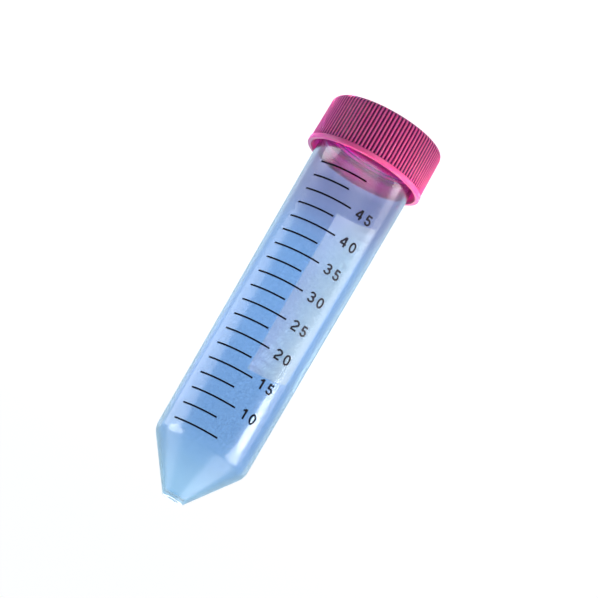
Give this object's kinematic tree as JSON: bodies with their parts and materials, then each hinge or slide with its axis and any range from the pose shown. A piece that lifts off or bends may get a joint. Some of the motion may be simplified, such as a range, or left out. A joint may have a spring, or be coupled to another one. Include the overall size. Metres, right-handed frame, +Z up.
{
  "type": "conical tube",
  "caption": "Clear conical centrifuge tube with printed graduations, a frosted writing panel and a ribbed screw cap on which it stands; the tube turns up off the cap on its thread.",
  "frame": {"origin": "centre of the screw cap's flat top face, which the part stands on", "axes": "+Z up the tube's axis, from the cap to the conical tip; the graduations face -Y and read left to right with the cap up"},
  "size_m": [0.035, 0.035, 0.1203],
  "materials": {
    "pink_plastic": "glossy moulded, opaque",
    "liner_foam": "soft, matt",
    "clear_blue_plastic": "clear with a blue cast, slightly milky",
    "black_ink": "printed",
    "white_ink": "printed, frosted"
  },
  "bodies": {
    "cap": {"screw_cap": "pink_plastic"},
    "liner": {"cap_liner": "liner_foam"},
    "tube": {"tube": "clear_blue_plastic", "graduation_marks": "black_ink", "writing_panel": "white_ink"}
  },
  "joints": [
    {"name": "turn", "type": "hinge", "parent": "cap", "child": "liner", "pos_m": [0, 0, 0.0016], "axis": [0, 0, 1], "range_deg": [0, 1800]},
    {"name": "rise", "type": "slide", "parent": "liner", "child": "tube", "axis": [0, 0, 1], "range_m": [0, 0.0175]}
  ],
  "couplings": [
    {"joint": "rise", "follows": "turn", "m_per_rad": 0.00055704}
  ]
}
